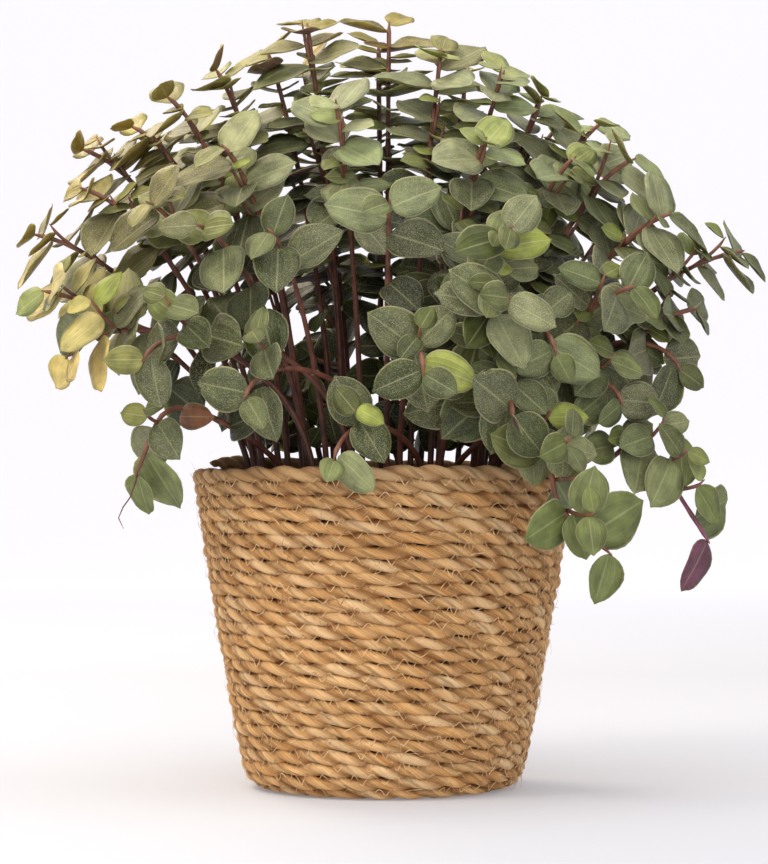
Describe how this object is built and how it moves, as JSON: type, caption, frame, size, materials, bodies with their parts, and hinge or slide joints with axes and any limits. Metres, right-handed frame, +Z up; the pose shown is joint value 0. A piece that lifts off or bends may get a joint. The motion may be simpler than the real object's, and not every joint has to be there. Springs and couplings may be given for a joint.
{
  "type": "potted turtle vine",
  "caption": "Trailing house plant with small round leaves on red stems, in a grower's pot of soil inside a sewn seagrass basket.",
  "frame": {"origin": "on the floor under the middle of the basket, at the rest face", "axes": "+Z up out of the soil, -Y towards the front with the bright low leaves, +X towards the side with the hanging shoots"},
  "size_m": [0.2852, 0.2239, 0.2991],
  "materials": {
    "seagrass": "twisted dry grass rope, sewn, matt",
    "liner_film": "thin film",
    "grower_pot_plastic": "thermoformed, satin",
    "soil": "crumbly peat",
    "foliage": "waxy leaf, satin, on red-brown stems"
  },
  "bodies": {
    "root": {"grower_pot": "grower_pot_plastic", "plastic_liner": "liner_film", "potting_soil": "soil", "seagrass_basket": "seagrass", "shoot_01": "foliage", "shoot_02": "foliage", "shoot_03": "foliage", "shoot_04": "foliage", "shoot_05": "foliage", "shoot_06": "foliage", "shoot_07": "foliage", "shoot_08": "foliage", "shoot_09": "foliage", "shoot_10": "foliage", "shoot_11": "foliage", "shoot_12": "foliage", "shoot_13": "foliage", "shoot_14": "foliage", "shoot_15": "foliage", "shoot_16": "foliage", "shoot_17": "foliage", "shoot_18": "foliage", "shoot_19": "foliage", "shoot_20": "foliage", "shoot_21": "foliage", "shoot_22": "foliage", "shoot_23": "foliage", "shoot_24": "foliage", "shoot_25": "foliage", "shoot_26": "foliage", "shoot_27": "foliage", "shoot_28": "foliage", "shoot_29": "foliage", "shoot_30": "foliage", "shoot_31": "foliage", "shoot_32": "foliage", "shoot_33": "foliage", "shoot_34": "foliage", "shoot_35": "foliage", "shoot_36": "foliage", "shoot_37": "foliage", "shoot_38": "foliage", "shoot_39": "foliage", "shoot_40": "foliage", "shoot_41": "foliage", "shoot_42": "foliage", "shoot_43": "foliage", "shoot_44": "foliage", "shoot_45": "foliage", "shoot_46": "foliage", "shoot_47": "foliage", "shoot_48": "foliage", "shoot_49": "foliage", "shoot_50": "foliage", "shoot_51": "foliage", "shoot_52": "foliage", "shoot_53": "foliage", "shoot_54": "foliage", "shoot_55": "foliage", "shoot_56": "foliage"}
  },
  "joints": []
}
